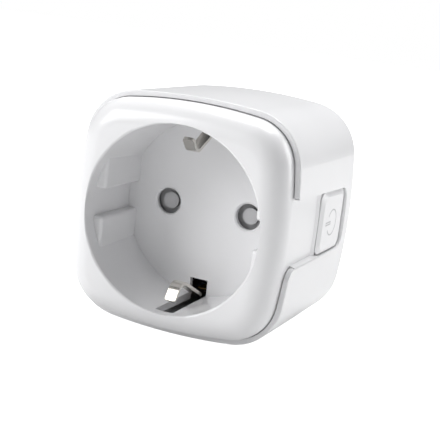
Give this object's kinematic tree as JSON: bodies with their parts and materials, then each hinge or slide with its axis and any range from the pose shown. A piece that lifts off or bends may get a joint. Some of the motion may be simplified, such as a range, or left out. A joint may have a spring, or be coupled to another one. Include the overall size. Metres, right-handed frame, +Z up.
{
  "type": "plug-in power meter",
  "caption": "Palm-sized white mains adapter with a round recessed socket in its pillow-shaped front, a power button in its side and a round-pin plug behind.",
  "frame": {"origin": "on the plug's axis, in the plane of the housing's rear face, which meets the wall socket", "axes": "+X towards the side button, -Y out of the socket in the front, +Y into the wall, +Z up"},
  "size_m": [0.05, 0.0793, 0.05],
  "materials": {
    "white_shell": "glossy white moulded plastic",
    "white_button": "glossy white moulded plastic",
    "grey_plastic": "matt mid-grey plastic",
    "black_plastic": "matt black plastic",
    "yellow_plastic": "satin yellow case",
    "nickel": "nickel plated brass",
    "brass": "bright stamped brass",
    "copper": "bare copper alloy",
    "spring_steel": "zinc plated steel",
    "can_aluminium": "thin drawn metal",
    "board": "green circuit board laminate",
    "blue_coating": "dipped coating",
    "green_coating": "dipped coating",
    "led_resin": "clear resin"
  },
  "bodies": {
    "housing": {"front_cover": "white_shell", "rear_housing": "white_shell", "shutter_cover": "grey_plastic", "shutter_spring": "spring_steel", "live_pin": "nickel", "neutral_pin": "nickel", "plug_earth_top": "nickel", "plug_earth_bottom": "nickel", "earth_bus": "brass", "earth_pin_socket": "brass", "live_contact": "brass", "neutral_contact": "brass", "contact_carrier": "grey_plastic", "main_board": "board", "board_screws": "spring_steel", "relay_base": "black_plastic", "relay_cover": "black_plastic", "relay_yoke": "spring_steel", "relay_coil": "copper", "current_shunt": "copper", "live_strap": "copper", "metering_chip": "black_plastic", "filter_capacitors": "can_aluminium", "mains_capacitor": "yellow_plastic", "filter_choke": "black_plastic", "surge_absorber": "blue_coating", "fuse_resistor": "green_coating", "supply_chip": "black_plastic", "pin_header": "black_plastic", "radio_board": "board", "radio_shield": "can_aluminium", "button_board": "board", "switch_body": "black_plastic", "status_led": "led_resin"},
    "button": {"power_button": "white_button"},
    "plunger": {"switch_plunger": "grey_plastic"},
    "shutter": {"socket_shutter": "grey_plastic"},
    "clip_top": {"earth_clip_top": "nickel"},
    "clip_bottom": {"earth_clip_bottom": "nickel"},
    "armature": {"relay_armature": "spring_steel"}
  },
  "joints": [
    {"name": "button_press", "type": "slide", "parent": "housing", "child": "button", "axis": [-1, 0, 0], "range_m": [0, 0.0005], "stiffness_N_per_m": 2500},
    {"name": "plunger_press", "type": "slide", "parent": "housing", "child": "plunger", "axis": [-1, 0, 0], "range_m": [0, 0.0005]},
    {"name": "shutter_turn", "type": "hinge", "parent": "housing", "child": "shutter", "pos_m": [0, -0.0212, 0], "axis": [0, 1, 0], "range_deg": [0, 40], "stiffness_Nm_per_rad": 0.01},
    {"name": "clip_top_flex", "type": "hinge", "parent": "housing", "child": "clip_top", "pos_m": [0, -0.02134, 0.01899], "axis": [-1, 0, 0], "range_deg": [0, 11], "stiffness_Nm_per_rad": 0.6},
    {"name": "clip_bottom_flex", "type": "hinge", "parent": "housing", "child": "clip_bottom", "pos_m": [0, -0.02134, -0.01899], "axis": [1, 0, 0], "range_deg": [0, 11], "stiffness_Nm_per_rad": 0.6},
    {"name": "armature_pull", "type": "hinge", "parent": "housing", "child": "armature", "pos_m": [-0.0184, -0.0168, 0.0115], "axis": [0, 0, 1], "range_deg": [0, 3], "stiffness_Nm_per_rad": 0.05}
  ],
  "couplings": [
    {"joint": "plunger_press", "follows": "button_press", "ratio": 1}
  ]
}
